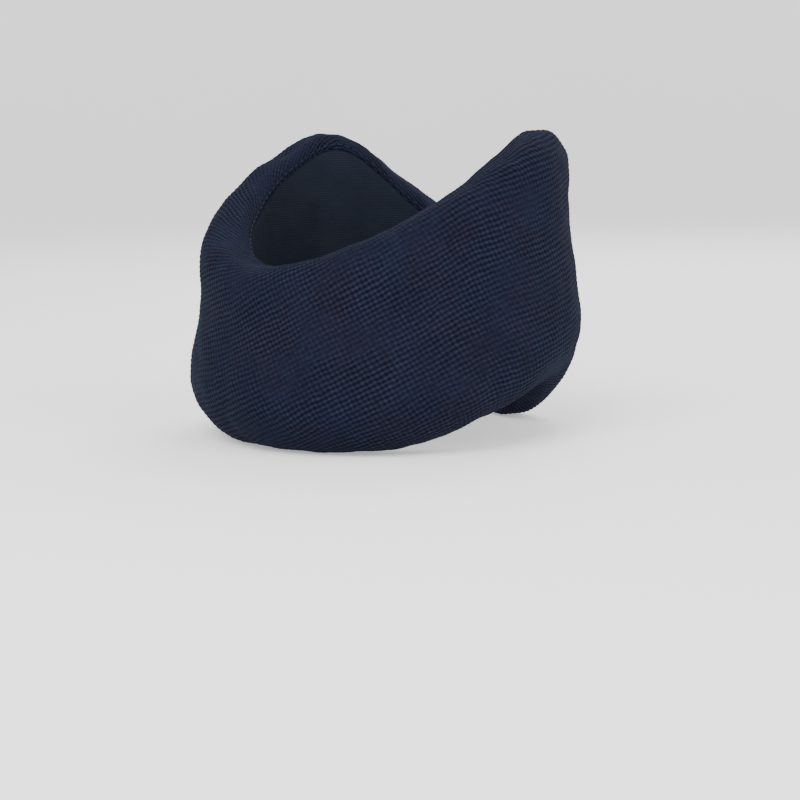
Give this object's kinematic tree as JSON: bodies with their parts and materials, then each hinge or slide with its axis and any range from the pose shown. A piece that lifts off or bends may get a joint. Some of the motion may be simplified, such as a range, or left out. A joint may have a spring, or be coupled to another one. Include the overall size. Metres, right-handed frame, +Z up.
{
  "type": "cervical collar",
  "caption": "Soft foam neck collar in a knitted fabric cover, chin recess at the front, high sides, closed at the back with a hook-and-loop strap.",
  "frame": {"origin": "on the floor, under the middle of the collar's bounding box", "axes": "-Y out of the collar's front (under the chin), +X the wearer's left, +Z up along the neck"},
  "size_m": [0.17, 0.1722, 0.1331],
  "materials": {
    "cover_fabric": "navy waffle knit, matte",
    "lining_fabric": "brushed soft jersey, matte",
    "foam": "open-cell polyurethane foam, matte",
    "sewing_thread": "polyester thread, slight sheen",
    "strap_webbing": "woven, black, matte",
    "hook_tape": "nylon hooks, semi-matte",
    "loop_tape": "napped loop pile, matte",
    "label_fabric": "blank woven satin"
  },
  "bodies": {
    "front": {"foam_core_front": "foam", "outer_cover_front": "cover_fabric", "inner_lining_front": "lining_fabric", "top_seam_front": "sewing_thread", "bottom_seam_front": "sewing_thread"},
    "left_wing": {"foam_core_left": "foam", "outer_cover_left": "cover_fabric", "inner_lining_left": "lining_fabric", "top_seam_left": "sewing_thread", "bottom_seam_left": "sewing_thread", "left_end_seam": "sewing_thread", "care_label": "label_fabric", "strap_root": "strap_webbing", "strap_root_stitching": "sewing_thread"},
    "right_wing": {"foam_core_right": "foam", "outer_cover_right": "cover_fabric", "inner_lining_right": "lining_fabric", "top_seam_right": "sewing_thread", "bottom_seam_right": "sewing_thread", "right_end_seam": "sewing_thread", "loop_tape": "loop_tape", "loop_tape_stitching": "sewing_thread"},
    "strap": {"hook_strap": "strap_webbing", "hook_tape": "hook_tape", "hook_tape_stitching": "sewing_thread", "pull_tab": "strap_webbing"}
  },
  "joints": [
    {"name": "left_flex", "type": "hinge", "parent": "front", "child": "left_wing", "pos_m": [0.08392, 0.01965, 0], "axis": [0, 0, -1], "range_deg": [0, 45]},
    {"name": "right_flex", "type": "hinge", "parent": "front", "child": "right_wing", "pos_m": [-0.08392, 0.01965, 0], "axis": [0, 0, 1], "range_deg": [0, 45]},
    {"name": "strap_peel", "type": "hinge", "parent": "left_wing", "child": "strap", "pos_m": [0.01707, 0.08135, 0.045], "axis": [0, 0, -1], "range_deg": [0, 110]}
  ],
  "couplings": [
    {"joint": "right_flex", "follows": "left_flex", "ratio": 1}
  ]
}
